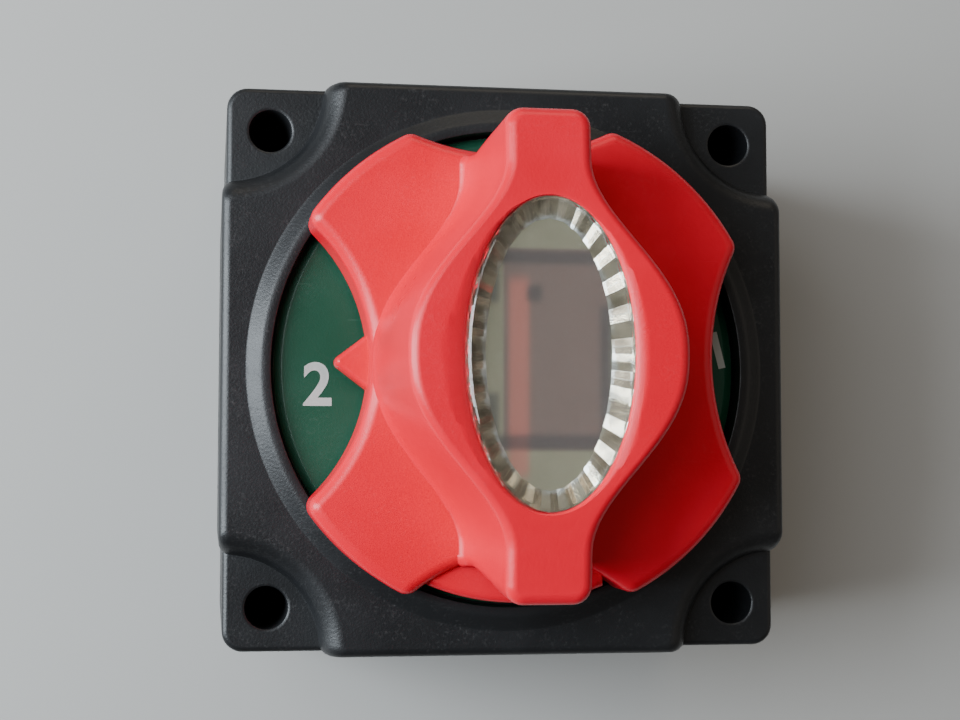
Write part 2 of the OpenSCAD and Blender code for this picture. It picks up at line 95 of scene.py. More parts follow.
panel_light("window_panel", (-0.42, 0.02, 0.27), (0, 0, 0.05), (0.24, 0.48), 6.2, (0.84, 0.93, 1.0))
panel_light("sky_panel", (-0.34, 0.14, 0.60), (-0.02, 0, 0.05), (0.40, 0.40), 2.2, (0.88, 0.94, 1.0))
panel_light("warm_wall", (0.10, 0.55, 0.34), (0, 0, 0.05), (0.40, 0.30), 0.8, (1.0, 0.88, 0.70))
panel_light("room_side", (0.50, 0.02, 0.42), (0, 0, 0.05), (0.50, 0.50), 0.30, (1.0, 0.90, 0.78))
world = bpy.data.worlds.new("room_glow")
world.use_nodes = True
glow = world.node_tree.nodes["Background"]
glow.inputs["Color"].default_value = (1.0, 0.93, 0.84, 1)
glow.inputs["Strength"].default_value = 0.13
bpy.context.scene.world = world

# ---------------------------------------------------------------- front housing
# The moulded front half of the case: a square black nylon shell whose four corner ears are
# set back in round pockets. A low raised collar rings the dial's recess in its face, and it
# is bored for the knob's shaft and holed for four mounting screws.
full_turn = 2 * math.pi


def loft(rings):
    """Closed solid through rings of the same number of points, first ring lowest."""
    bm = bmesh.new()
    loops = []
    for ring in rings:
        verts = [bm.verts.new(point) for point in ring]
        loops.append([bm.edges.new(pair) for pair in zip(verts, verts[1:] + verts[:1])])
    for low, high in zip(loops, loops[1:]):
        bmesh.ops.bridge_loops(bm, edges=low + high)
    for end in (loops[0], loops[-1]):
        bmesh.ops.contextual_create(bm, geom=end)
    bmesh.ops.recalc_face_normals(bm, faces=bm.faces)
    return bm


def spun(profile, steps=96):
    """Solid of revolution about Z from (radius, height) points, open only at the axis."""
    bm = bmesh.new()
    verts = [bm.verts.new((r, 0, z)) for r, z in profile]
    edges = [bm.edges.new(pair) for pair in zip(verts, verts[1:])]
    if profile[0][0] > 0:
        edges.append(bm.edges.new((verts[-1], verts[0])))
    bmesh.ops.spin(bm, geom=verts + edges, cent=(0, 0, 0), axis=(0, 0, 1), dvec=(0, 0, 0),
                   angle=full_turn, steps=steps, use_merge=True)
    bmesh.ops.remove_doubles(bm, verts=bm.verts, dist=1e-6)
    bmesh.ops.recalc_face_normals(bm, faces=bm.faces)
    return bm


def block(low, high, rounding=0):
    """Box between two corners, its edges rounded over."""
    bm = bmesh.new()
    bmesh.ops.create_cube(bm, size=1)
    low, high = Vector(low), Vector(high)
    bmesh.ops.scale(bm, vec=high - low, verts=bm.verts)
    bmesh.ops.translate(bm, vec=(low + high) / 2, verts=bm.verts)
    if rounding:
        bmesh.ops.bevel(bm, geom=bm.edges, offset=rounding, affect="EDGES", segments=3,
                        profile=0.5, material=-1)
    return bm


def placed(bm, *moves):
    """The same shape after each 4 x 4 move in turn."""
    for move in moves:
        bmesh.ops.transform(bm, matrix=move, verts=bm.verts)
    return bm


def joined(shapes):
    """Several separate shapes as one."""
    whole = bmesh.new()
    for bm in shapes:
        part = bpy.data.meshes.new("part")
        bm.to_mesh(part)
        bm.free()
        whole.from_mesh(part)
        bpy.data.meshes.remove(part)
    return whole


def as_object(name, bm):
    """The shape as an object in the scene."""
    mesh = bpy.data.meshes.new(name)
    bm.to_mesh(mesh)
    bm.free()
    piece = bpy.data.objects.new(name, mesh)
    bpy.context.scene.collection.objects.link(piece)
    return piece


def machine(bm, tool, operation):
    """Shape bm cut by, or joined to, the shape tool."""
    work = as_object("work", bm)
    cutter = as_object("cutter", tool)
    change = work.modifiers.new("change", "BOOLEAN")
    change.object = cutter
    change.operation = operation
    change.solver = "EXACT"
    bpy.context.view_layer.update()
    made = bpy.data.meshes.new_from_object(work.evaluated_get(bpy.context.evaluated_depsgraph_get()))
    result = bmesh.new()
    result.from_mesh(made)
    for thing in (work, cutter):
        old = thing.data
        bpy.data.objects.remove(thing)
        bpy.data.meshes.remove(old)
    bpy.data.meshes.remove(made)
    bmesh.ops.remove_doubles(result, verts=result.verts, dist=2e-6)
    return result


def cut(bm, *shapes):
    for shape in shapes:
        bm = machine(bm, shape, "DIFFERENCE")
    return bm


def add(bm, *shapes):
    for shape in shapes:
        bm = machine(bm, shape, "UNION")
    return bm


def finished(name, bm, body, material, nodes=(), crease=32):
    """The shape as a smooth-shaded piece that rides on a body and stands for CAD nodes."""
    for face in bm.faces:
        face.smooth = True
    for edge in bm.edges:
        edge.smooth = len(edge.link_faces) != 2 or edge.calc_face_angle(0) < math.radians(crease)
    piece = as_object(name, bm)
    even = piece.modifiers.new("even_shading", "WEIGHTED_NORMAL")
    even.keep_sharp = True
    piece.data.materials.append(material)
    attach(piece, body)
    if nodes:
        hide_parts(*nodes)


def turn(degrees, axis="Z"):
    return Matrix.Rotation(math.radians(degrees), 4, axis)


def shift(x=0.0, y=0.0, z=0.0):
    return Matrix.Translation((x, y, z))


def rounded_edge(top, radius, steps=5):
    """(height, inset) pairs that round an edge over to a top face."""
    turns = [math.pi / 2 * i / steps for i in range(steps + 1)]
    return [(top - radius + radius * math.sin(a), radius * (1 - math.cos(a))) for a in turns]


def arc(centre, radius, start, end, steps):
    """Points along an arc, angles in radians."""
    turns = [start + (end - start) * i / steps for i in range(steps + 1)]
    return [(centre[0] + radius * math.cos(a), centre[1] + radius * math.sin(a)) for a in turns]


def four_corners(corner):
    """A corner's (x, y) points, repeated round the four corners of a square."""
    points = []
    for quarter in range(4):
        c, s = round(math.cos(quarter * math.pi / 2)), round(math.sin(quarter * math.pi / 2))
        points += [(c * x - s * y, s * x + c * y) for x, y in corner]
    return points


side_half = front_high.x
ear_half = side_half - 0.5 * mm
ear_corner = 2.5 * mm
side_corner = 1.5 * mm
pocket_depth = 3.6 * mm
pocket_radius = 11.5 * mm
pocket_wall_radius = 11.6 * mm
pocket_slope = 2.8 * mm
seam_chamfer = 0.25 * mm
hole_offset = 28.75 * mm
hole_radius = 2.5 * mm
seam_z = front_low.z
ear_z = face_z - pocket_depth


def ear_ring(z, inset):
    """Ring of the case's square outline, as the four ears show it."""
    middle = ear_half - ear_corner
    corner = arc((middle, middle), ear_corner - inset, 0, math.pi / 2, 8)
    return [(x, y, z) for x, y in four_corners(corner)]


def side_ring(z, inset, pocket):
    """Ring of the raised part: straight sides between four round corner pockets."""
    reach = ear_half - side_half + side_corner
    along = ear_half - math.sqrt((pocket + side_corner) ** 2 - reach ** 2)
    lean = math.atan2(ear_half - along, reach)
    corner = arc((side_half - side_corner, along), side_corner - inset, 0, lean, 5)
    corner += arc((ear_half, ear_half), pocket + inset, lean + math.pi, 1.5 * math.pi - lean, 24)
    corner += arc((along, side_half - side_corner), side_corner - inset, math.pi / 2 - lean, math.pi / 2, 5)
    return [(x, y, z) for x, y in four_corners(corner)]


def at_corners(x, y, make):
    """The same shape made at the four corners of a rectangle."""
    return joined([placed(make(), shift(sx * x, sy * y)) for sx in (-1, 1) for sy in (-1, 1)])


def mounting_holes(low, high, lip_low, lip_high):
    """Cutter for the four screw holes, their mouths softly rounded where a lip is asked for."""
    lip = 0.45 * mm
    above = high + 6 * mm
    profile = [(0, low - mm)]
    if lip_low:
        profile += [(hole_radius + lip, low - mm), (hole_radius + lip, low), (hole_radius, low + lip)]
    else:
        profile += [(hole_radius, low - mm)]
    if lip_high:
        profile += [(hole_radius, high - lip), (hole_radius + 0.12 * mm, high - 0.2 * mm),
                    (hole_radius + lip, high), (hole_radius + lip, above)]
    else:
        profile += [(hole_radius, above)]
    profile += [(0, above)]
    return at_corners(hole_offset, hole_offset, lambda: spun(profile, 40))


ear_rings = [ear_ring(seam_z, seam_chamfer), ear_ring(seam_z + seam_chamfer, 0)]
ear_rings += [ear_ring(z, inset) for z, inset in rounded_edge(ear_z, 0.7 * mm)]
side_rings = [side_ring(seam_z, seam_chamfer, pocket_radius),
              side_ring(seam_z + seam_chamfer, 0, pocket_radius)]
side_levels = [(ear_z + rise * mm, 0) for rise in (-0.4, 0, 0.5, 1.2, 1.8, 2.2)]
side_levels += rounded_edge(face_z, 1.1 * mm, 6)
for z, inset in side_levels:
    climb = min(max((z - ear_z) / pocket_depth, 0), 1)
    lean_back = pocket_slope * (1 - math.sqrt(1 - climb ** 2))
    side_rings.append(side_ring(z, inset, pocket_wall_radius + lean_back - inset))

recess_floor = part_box("dial_plate")[0].z
collar_z = front_high.z
# The collar's outer slope: radius and height over the face, in mm
collar_flank = [(31.7, -1.0), (31.7, -0.02), (31.45, 0.04), (31.2, 0.16), (30.6, 0.5), (30.1, 0.79),
                (29.85, 0.92), (29.6, 0.98), (29.3, 1.0)]
collar_profile = [(0, face_z - mm)] + [(r * mm, face_z + z * mm) for r, z in collar_flank] + [(0, collar_z)]
recess_radius = 28.6 * mm
recess_profile = [(0, recess_floor), (recess_radius, recess_floor), (recess_radius, collar_z - 0.2 * mm),
                  (recess_radius + 0.06 * mm, collar_z - 0.06 * mm), (recess_radius + 0.2 * mm, collar_z),
                  (recess_radius + 0.2 * mm, collar_z + mm), (0, collar_z + mm)]
cavity_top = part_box("thrust_washer")[1].z
cavity_radius = 26.5 * mm
boss_radius = 10 * mm
boss_top = face_z + 0.5 * mm
shaft_bore = 6.05 * mm
seal_low, seal_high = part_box("body_seal")


def seal_groove():
    """Cutter for the body seal's groove round the joint between the two halves."""
    low, high = seal_low.z - mm, seal_high.z
    inner, outer = 27.35 * mm, seal_high.x + 0.05 * mm
    return spun([(inner, low), (outer, low), (outer, high), (inner, high)])


def round_bar(radius, low, high, steps=48):
    return spun([(0, low), (radius, low), (radius, high), (0, high)], steps)


anchor_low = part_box("detent_springs")[0].z - 0.3 * mm
anchor_x, anchor_y = 13.6 * mm, 14 * mm
anchor_half = 2 * mm
leaf_slot_half = 0.35 * mm


def spring_anchors():
    """Four slotted posts under the recess that hold the ends of the two leaf springs."""
    jaws = []
    for x, y in [(side * anchor_x, end * anchor_y) for side in (-1, 1) for end in (-1, 1)]:
        for near, far in ((leaf_slot_half, anchor_half), (-anchor_half, -leaf_slot_half)):
            jaws.append(block((x + near, y - anchor_half, anchor_low),
                              (x + far, y + anchor_half, cavity_top + mm)))
    return joined(jaws)


screw_head_radius = 2.6 * mm
screw_hole_radius = 1.8 * mm
screw_hole_depth = 12 * mm
screw_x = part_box("assembly_screws")[1].x - screw_head_radius
screw_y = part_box("assembly_screws")[1].y - screw_head_radius


def screw_holes(low, high):
    """Cutter for the holes of the four assembly screws."""
    return at_corners(screw_x, screw_y, lambda: round_bar(screw_hole_radius, low, high, 24))


housing_shape = add(loft(ear_rings), loft(side_rings), spun(collar_profile, 160))
housing_shape = cut(housing_shape, spun(recess_profile, 160),
                    round_bar(cavity_radius, seam_z - mm, cavity_top, 120), seal_groove())
housing_shape = add(housing_shape, round_bar(boss_radius, recess_floor - mm, boss_top), spring_anchors())
housing_shape = cut(housing_shape, round_bar(shaft_bore, cavity_top - mm, face_z + 3 * mm),
                    mounting_holes(seam_z, ear_z, False, True),
                    screw_holes(seam_z - mm, seam_z + screw_hole_depth))


def node_group(name, inputs, outputs):
    """Empty shader group with float inputs (name, default) and named float outputs."""
    group = bpy.data.node_groups.new(name, "ShaderNodeTree")
    for label, value in inputs:
        socket = group.interface.new_socket(label, in_out="INPUT", socket_type="NodeSocketFloat")
        socket.default_value = value
    for label in outputs:
        group.interface.new_socket(label, in_out="OUTPUT", socket_type="NodeSocketFloat")
    return group


def put(tree, kind, values=None, **settings):
    """A node of that kind with its settings, its inputs filled with values or links."""
    node = tree.nodes.new(kind)
    for key, value in settings.items():
        setattr(node, key, value)
    for key, value in (values or {}).items():
        if isinstance(value, bpy.types.NodeSocket):
            tree.links.new(value, node.inputs[key])
        else:
            node.inputs[key].default_value = value
    return node


def maths(tree, operation, a, b=0.0, clamp=False):
    return put(tree, "ShaderNodeMath", {0: a, 1: b}, operation=operation, use_clamp=clamp).outputs[0]


def graded(tree, value, low, high, to_low=0.0, to_high=1.0):
    """Value from low..high, eased to to_low..to_high."""
    inputs = {"Value": value, "From Min": low, "From Max": high, "To Min": to_low, "To Max": to_high}
    return put(tree, "ShaderNodeMapRange", inputs, interpolation_type="SMOOTHSTEP").outputs["Result"]


def blended(tree, share, first, second):
    """Colour mix of first and second by share."""
    node = put(tree, "ShaderNodeMix", data_type="RGBA")
    for index, value in ((0, share), (6, first), (7, second)):
        if isinstance(value, bpy.types.NodeSocket):
            tree.links.new(value, node.inputs[index])
        else:
            node.inputs[index].default_value = value
    return node.outputs[2]


# Handling marks that every moulded or turned part shows: cloudy tone, a fine skin grain,
# rubbed edges, dust that settles on upward faces and thin scratches.
# The dial and the facet silvering also use the edge mask and cloud for painted highlights and reflections.
handling = node_group("handling_marks", [("Cloud Scale", 60), ("Grain Scale", 3200), ("Edge Width", 0.0004)],
                      ["Cloud", "Grain", "Edge", "Dust", "Scratch"])
marks_in = handling.nodes.new("NodeGroupInput")
marks_out = handling.nodes.new("NodeGroupOutput")
place = handling.nodes.new("ShaderNodeTexCoord").outputs["Object"]
surface = handling.nodes.new("ShaderNodeNewGeometry")
cloud = put(handling, "ShaderNodeTexNoise", {"Vector": place, "Scale": marks_in.outputs["Cloud Scale"],
                                             "Detail": 4.0, "Roughness": 0.6}).outputs[0]
grain = put(handling, "ShaderNodeTexNoise", {"Vector": place, "Scale": marks_in.outputs["Grain Scale"],
                                             "Detail": 2.0, "Roughness": 0.7}).outputs[0]
eased = put(handling, "ShaderNodeBevel", {"Radius": marks_in.outputs["Edge Width"]}, samples=4).outputs[0]
agree = put(handling, "ShaderNodeVectorMath", {0: eased, 1: surface.outputs["Normal"]},
            operation="DOT_PRODUCT").outputs["Value"]
edge = graded(handling, agree, 0.995, 0.86)
patchy = graded(handling, put(handling, "ShaderNodeTexNoise", {"Vector": place, "Scale": 260.0}).outputs[0],
                0.35, 0.65)
upward = put(handling, "ShaderNodeSeparateXYZ", {0: surface.outputs["Normal"]}).outputs["Z"]
specks = put(handling, "ShaderNodeTexNoise", {"Vector": place, "Scale": 2600.0, "Detail": 2.0}).outputs[0]
dust = maths(handling, "MULTIPLY", graded(handling, upward, 0.2, 1.0), graded(handling, specks, 0.5, 0.9))
dust = maths(handling, "MULTIPLY", dust, patchy)
stretch = put(handling, "ShaderNodeMapping", {"Vector": place, "Rotation": (0.3, 0.2, 0.7),
                                              "Scale": (1.0, 14.0, 6.0)}).outputs[0]
lines = put(handling, "ShaderNodeTexNoise", {"Vector": stretch, "Scale": 190.0, "Detail": 2.0}).outputs[0]
scratch = maths(handling, "MULTIPLY", graded(handling, lines, 0.67, 0.72), patchy)
for label, value in (("Cloud", cloud), ("Grain", grain), ("Edge", maths(handling, "MULTIPLY", edge, patchy)),
                     ("Dust", dust), ("Scratch", scratch)):
    handling.links.new(value, marks_out.inputs[label])


def finish_with_marks(name, colour, cloudy, rubbed_and_highlight, rough, rough_cloud, grain_depth, edge_share=0.5,
                      dust_share=0.06, scratch_share=0.10, metal=0.0, grain_scale=3200.0,
                      cloud_scale=60.0, shine=0.5):
    """One colour with the shared handling marks over it; grain_depth is in metres."""
    material = bpy.data.materials.new(name)
    material.use_nodes = True
    tree = material.node_tree
    skin = tree.nodes["Principled BSDF"]
    skin.inputs["Metallic"].default_value = metal
    skin.inputs["Specular IOR Level"].default_value = shine
    marks = tree.nodes.new("ShaderNodeGroup")
    marks.node_tree = handling
    marks.inputs["Grain Scale"].default_value = grain_scale
    marks.inputs["Cloud Scale"].default_value = cloud_scale
    cloud_share = graded(tree, marks.outputs["Cloud"], 0.35, 0.7)
    colour_now = blended(tree, cloud_share, (*colour, 1), (*cloudy, 1))
    edge_now = maths(tree, "MULTIPLY", marks.outputs["Edge"], edge_share)
    scratch_now = maths(tree, "MULTIPLY", marks.outputs["Scratch"], scratch_share)
    colour_now = blended(tree, maths(tree, "MAXIMUM", edge_now, scratch_now), colour_now, (*rubbed_and_highlight, 1))
    dust_now = maths(tree, "MULTIPLY", marks.outputs["Dust"], dust_share)
    colour_now = blended(tree, dust_now, colour_now, (0.55, 0.53, 0.50, 1))
    tree.links.new(colour_now, skin.inputs["Base Color"])
    rough_now = graded(tree, marks.outputs["Cloud"], 0.3, 0.75, rough, rough + rough_cloud)
    rough_now = maths(tree, "ADD", rough_now, maths(tree, "MULTIPLY", marks.outputs["Dust"], 0.25), True)
    tree.links.new(rough_now, skin.inputs["Roughness"])
    height = maths(tree, "SUBTRACT", marks.outputs["Grain"], scratch_now)
    bump = put(tree, "ShaderNodeBump", {"Height": height, "Strength": 1.0, "Distance": grain_depth})
    tree.links.new(bump.outputs[0], skin.inputs["Normal"])
    return material


black_nylon = finish_with_marks("black_nylon", (0.0068, 0.0073, 0.0082), (0.0100, 0.0107, 0.0120),
                                (0.040, 0.043, 0.048), rough=0.34, rough_cloud=0.10, grain_depth=0.00003,
                                edge_share=0.4, dust_share=0.03, shine=0.40)
finished("front_case", housing_shape, "housing", black_nylon, ["front_housing"])

# ---------------------------------------------------------------- contact base
# The rear half of the case, moulded in the same nylon: a thick plate that carries the
# studs and the lower shaft bearing, with corner walls and screw posts round an open
# terminal compartment. Four screws hold it to the front half.
base_low, base_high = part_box("contact_base")
plate_z = 21 * mm
inner_half = 31.7 * mm
cover_half = 15 * mm
corner_post_radius = 4.9 * mm
rib_half = 1.2 * mm
bearing_radius = 4.05 * mm
bearing_depth = 3.7 * mm
stud_seat_radius = 6.65 * mm
stud_seat_z = plate_z + 1.5 * mm
stud_hole_radius = 5.05 * mm
stud_places = [(-13 * mm, -13 * mm), (13 * mm, -13 * mm), (0, 16 * mm)]


def case_slice(low, high):
    """The case's outline between two heights, its edges eased at both seams."""
    levels = [(low, seam_chamfer), (low + seam_chamfer, 0), (high - seam_chamfer, 0), (high, seam_chamfer)]
    ears = loft([ear_ring(z, inset) for z, inset in levels])
    sides = loft([side_ring(z, inset, pocket_radius) for z, inset in levels])
    return add(ears, sides)


def doorway():
    """Cutter for the side opening of the compartment on the +X side."""
    return block((inner_half - mm, -cover_half, base_low.z - mm), (side_half + mm, cover_half, plate_z))


def on_four_sides(make):
    """The same shape made for the +X side and turned to all four."""
    return joined([placed(make(), turn(angle)) for angle in (0, 90, 180, 270)])


room = block((-inner_half, -inner_half, base_low.z - mm), (inner_half, inner_half, plate_z))
room = cut(room, at_corners(hole_offset, hole_offset, lambda: round_bar(corner_post_radius, 0, plate_z + mm)),
           block((-rib_half, -28 * mm, 9 * mm), (rib_half, -4 * mm, plate_z + mm)))
stud_profile = [(0, plate_z - mm), (stud_seat_radius, plate_z - mm), (stud_seat_radius, stud_seat_z),
                (stud_hole_radius, stud_seat_z), (stud_hole_radius, seam_z + mm), (0, seam_z + mm)]
base_shape = cut(case_slice(base_low.z, base_high.z), room, on_four_sides(doorway),
                 mounting_holes(base_low.z, base_high.z, False, False), seal_groove(),
                 joined([placed(spun(stud_profile), shift(x, y)) for x, y in stud_places]),
                 round_bar(bearing_radius, seam_z - bearing_depth, seam_z + mm),
                 screw_holes(plate_z - mm, seam_z + mm))
finished("rear_case", base_shape, "housing", black_nylon, ["contact_base"])

# ---------------------------------------------------------------- rear cover
# The isolating plate that closes the terminal compartment against the panel. Moulded, with
# shallow sunk bays on the back to keep it flat and a lip inside each wall.
lip_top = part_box("rear_cover")[1].z
cover_top = base_low.z
bay_count = 5
bay_width = 6.6 * mm
bay_half_length = 22 * mm
bay_pitch = 8.2 * mm
bay_depth = 0.35 * mm
lip_inner, lip_outer = 28.6 * mm, 29.8 * mm
lip_half = 14 * mm


def sunk_bay(middle):
    """Cutter for one bay, its length along Y."""
    return block((middle - bay_width / 2, -bay_half_length, -mm),
                 (middle + bay_width / 2, bay_half_length, bay_depth), 0.3 * mm)


def wall_lip():
    """The lip that stands inside the wall on the +X side."""
    return block((lip_inner, -lip_half, cover_top - 0.5 * mm), (lip_outer, lip_half, lip_top), 0.2 * mm)


bays = joined([sunk_bay(bay_pitch * (i - 2)) for i in range(bay_count)])
back_shape = add(case_slice(0, cover_top), on_four_sides(wall_lip))
back_shape = cut(back_shape, bays, mounting_holes(0, cover_top, True, False))
finished("back_plate", back_shape, "housing", black_nylon, ["rear_cover"])

# ---------------------------------------------------------------- side covers
# Snap-in plates that close the four sides of the terminal compartment. Two are plain with
# finger grooves, and two have round entries for the battery cables.
plate_low = base_low.z + 0.12 * mm
plate_high = plate_z - 0.1 * mm
flange_low = base_low.z + 1.5 * mm
groove_count = 5


def cover_plate():
    """Plate, web and snap-in flange for the +X side."""
    plate = block((side_half - 2.5 * mm, -cover_half + 0.15 * mm, plate_low),
                  (side_half - 0.02 * mm, cover_half - 0.15 * mm, plate_high), 0.4 * mm)
    web = block((side_half - 3.3 * mm, -cover_half + 0.6 * mm, flange_low),
                (side_half - 2 * mm, cover_half - 0.6 * mm, plate_high - 0.1 * mm))
    flange = block((side_half - 4.4 * mm, -cover_half - 2 * mm, flange_low),
                   (side_half - 2.9 * mm, cover_half + 2 * mm, plate_high - 0.1 * mm), 0.2 * mm)
    return add(plate, web, flange)


def finger_grooves():
    """Cutter for level grooves across the plate, 3 mm apart."""
    grooves = []
    for i in range(groove_count):
        low, high = (5.4 + 3 * i) * mm, (6.6 + 3 * i) * mm
        grooves.append(block((side_half - 0.5 * mm, -9 * mm, low), (side_half + mm, 9 * mm, high), 0.35 * mm))
    return joined(grooves)


entry_height = 11 * mm


def cable_entry(y):
    """Cutter for a cable hole of 13 mm with a rounded mouth."""
    radius, lip = 6.5 * mm, 0.5 * mm
    profile = [(0, -6 * mm), (radius, -6 * mm), (radius, -lip), (radius + 0.15 * mm, -0.18 * mm),
               (radius + lip, 0), (radius + lip, 2 * mm), (0, 2 * mm)]
    return placed(spun(profile, 64), turn(90, "Y"), shift(side_half, y, entry_height))


cover_list = [("cover_right", "side_cover_right", 0, None), ("cover_left", "side_cover_left", 180, None),
              ("cover_upper", "cable_cover_top", 90, [0]),
              ("cover_lower", "cable_cover_bottom", -90, [-7.3 * mm, 7.3 * mm])]
for name, node, angle, entries in cover_list:
    plate = cover_plate()
    if entries is None:
        plate = cut(plate, finger_grooves())
    else:
        plate = cut(plate, *[cable_entry(y) for y in entries])
    finished(name, placed(plate, turn(angle)), "housing", black_nylon, [node])

# ---------------------------------------------------------------- dial plate
# A stamped disc in dark green with a bevelled rim, dropped into the recess; its pale edge
# colour is partly wear and partly a painted highlight on the rim. The position numbers are printed on it in
# pale ink.
dial_low, dial_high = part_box("dial_plate")
dial_radius = dial_high.x
dial_bore = 10.2 * mm
dial_profile = [(dial_bore, dial_low.z), (dial_radius - 0.2 * mm, dial_low.z),
                (dial_radius, dial_low.z + 0.2 * mm), (dial_radius, dial_high.z - 0.55 * mm),
                (dial_radius - 0.15 * mm, dial_high.z - 0.4 * mm),
                (dial_radius - 0.95 * mm, dial_high.z - 0.03 * mm), (dial_radius - 1.1 * mm, dial_high.z),
                (10.3 * mm, dial_high.z), (dial_bore, dial_high.z - 0.1 * mm)]
# The pale green edge colour, laid on strongly, is partly wear on the edges and partly a painted highlight on
# the rim.
dial_green = finish_with_marks("dial_green", (0.006, 0.060, 0.031), (0.008, 0.072, 0.039),
                               (0.20, 0.38, 0.30), rough=0.33, rough_cloud=0.10, grain_depth=0.00002,
                               edge_share=0.9, grain_scale=4200.0, scratch_share=0.08, dust_share=0.02,
                               shine=0.38)
finished("dial_disc", spun(dial_profile, 160), "housing", dial_green, ["dial_plate"])

number_ink = finish_with_marks("number_ink", (0.36, 0.42, 0.39), (0.46, 0.52, 0.49), (0.6, 0.65, 0.62),
                               rough=0.5, rough_cloud=0.1, grain_depth=0.00002, dust_share=0.05)
ink_depth = 0.06 * mm
numeral_share = 0.73


def printed_number(name, text, place, height, tilt):
    """A numeral as a thin raised print on the dial, centred at a place on it."""
    curve = bpy.data.curves.new(name, "FONT")
    curve.body = text
    curve.size = height / numeral_share
    curve.offset = 0.03 * height
    curve.extrude = ink_depth / 2
    curve.align_x = "CENTER"
    lettering = bpy.data.objects.new(name, curve)
    bpy.context.scene.collection.objects.link(lettering)
    bpy.context.view_layer.update()
    made = bpy.data.meshes.new_from_object(lettering.evaluated_get(bpy.context.evaluated_depsgraph_get()))
    bpy.data.objects.remove(lettering)
    bm = bmesh.new()
    bm.from_mesh(made)
    bpy.data.meshes.remove(made)
    bmesh.ops.remove_doubles(bm, verts=bm.verts, dist=1e-7)
    middle = sum((v.co for v in bm.verts), Vector()) / len(bm.verts)
    low = min(v.co.y for v in bm.verts)
    high = max(v.co.y for v in bm.verts)
    placed(bm, shift(-middle.x, -(low + high) / 2, 0), turn(tilt), shift(place[0], place[1], dial_high.z))
    finished(name, bm, "housing", number_ink)


printed_number("number_2", "2", (-23.1 * mm, -2.1 * mm), 5.2 * mm, 0)
printed_number("number_1", "1", (26.4 * mm, 2.5 * mm), 4.6 * mm, 14)
printed_number("number_1_and_2", "1+2", (0, 23.6 * mm), 4.2 * mm, 0)
printed_number("number_0", "0", (0, -24.4 * mm), 4.2 * mm, 0)

# ---------------------------------------------------------------- knob
# One red moulding: a disc of four wings with finger cut-outs between them, a pointed tooth
# at the deeper cut-out and a tall handle that widens round an oval window. It is hollow
# underneath and fits the shaft's flats.
knob_low, knob_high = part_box("knob")
skirt_z = knob_low.z
wing_z = skirt_z + 7.5 * mm
wing_radius = 29.8 * mm
tip_rounding = 1.7 * mm
# Each cut-out: direction in degrees, distance of its centre from the axis, radius
wing_cuts = [(1, 53.1 * mm, 30 * mm), (92, 52.8 * mm, 28.2 * mm), (180, 38.9 * mm, 21.5 * mm),
             (270, 42.4 * mm, 20.3 * mm)]


def wing_ring(z, inset):
    """Ring round the four wings, with a rounded tip on each side of each cut-out."""
    middle = wing_radius - tip_rounding
    tips = []
    for degrees, distance, radius in wing_cuts:
        reach = radius + tip_rounding
        spread = math.acos((distance ** 2 + middle ** 2 - reach ** 2) / (2 * distance * middle))
        tips.append((math.radians(degrees), spread))
    points = []
    for i, (degrees, distance, radius) in enumerate(wing_cuts):
        way, spread = tips[i]
        centre = Vector((distance * math.cos(way), distance * math.sin(way)))
        before = Vector((middle * math.cos(way - spread), middle * math.sin(way - spread)))
        after = Vector((middle * math.cos(way + spread), middle * math.sin(way + spread)))
        into = math.atan2(*(centre - before).yx)
        out = math.atan2(*(centre - after).yx)
        into += full_turn * round((way - into) / full_turn)
        out += full_turn * round((way - out) / full_turn)
        points += arc(before, tip_rounding - inset, way - spread, into, 6)
        points += arc(centre, radius + inset, into + math.pi, out + math.pi, 28)
        points += arc(after, tip_rounding - inset, out, way + spread, 6)
        next_way, next_spread = tips[(i + 1) % 4]
        next_way += full_turn if i == 3 else 0
        rim = arc((0, 0), wing_radius - inset, way + spread, next_way - next_spread, 14)
        points += rim[1:-1]
    return [(x, y, z) for x, y in points]


foot_rounding = 0.4 * mm
wing_foot = rounded_edge(foot_rounding, foot_rounding, 3)
wing_rings = [wing_ring(skirt_z + foot_rounding - z, inset) for z, inset in reversed(wing_foot)]
wing_rings += [wing_ring(z, inset) for z, inset in rounded_edge(wing_z, 1.5 * mm, 7)]

handle_z = knob_high.z
handle_blend = 21 * mm
handle_crown = 1.5 * mm
handle_end = 26.6 * mm
handle_steps = 44


def handle_half(y, mid, tip):
    """Half-width of the handle at y."""
    share = (abs(y) / handle_blend) ** 1.2
    swell = math.cos(math.pi / 2 * share) ** 2 if share < 1 else 0
    return tip + (mid - tip) * swell


def handle_ring(z, mid, tip, end_low, end_high, corner, crown):
    """Ring round the handle: wide at the window, straight at its two ends."""
    edge = arc((tip - corner, -end_low + corner), corner, -math.pi / 2, 0, 6)
    for i in range(handle_steps + 1):
        y = handle_blend * (2 * i / handle_steps - 1)
        edge.append((handle_half(y, mid, tip), y))
    edge += arc((tip - corner, end_high - corner), corner, 0, math.pi / 2, 6)
    outline = edge + [(-x, y) for x, y in reversed(edge)]
    return [(x, y, z - crown * (y / handle_end) ** 2) for x, y in outline]


# Each level, in mm: height over the wings or under the top, the half-widths at the middle
# and the ends, the two half-lengths and the end corners' radius, then the crown's share.
foot_levels = [(-1.8, 17.38, 7.6, 23.6, 24.2, 1.2, 0), (-0.4, 17.35, 7.7, 23.4, 24.2, 1.2, 0),
               (0.0, 17.3, 7.5, 23.3, 24.1, 1.2, 0), (0.25, 17.15, 7.1, 23.3, 24.1, 1.2, 0),
               (0.7, 16.95, 6.75, 23.3, 24.1, 1.2, 0), (1.5, 16.8, 6.5, 23.4, 24.15, 1.3, 0),
               (3.0, 16.65, 6.25, 23.7, 24.3, 1.4, 0), (6.0, 16.4, 5.85, 24.4, 25.0, 1.6, 0.2),
               (9.0, 16.1, 5.5, 25.1, 25.6, 1.8, 0.5)]
top_levels = [(-5.6, 15.75, 5.15, 26.0, 26.1, 2.0, 1), (-2.2, 15.35, 4.8, 26.5, 26.55, 2.0, 1)]


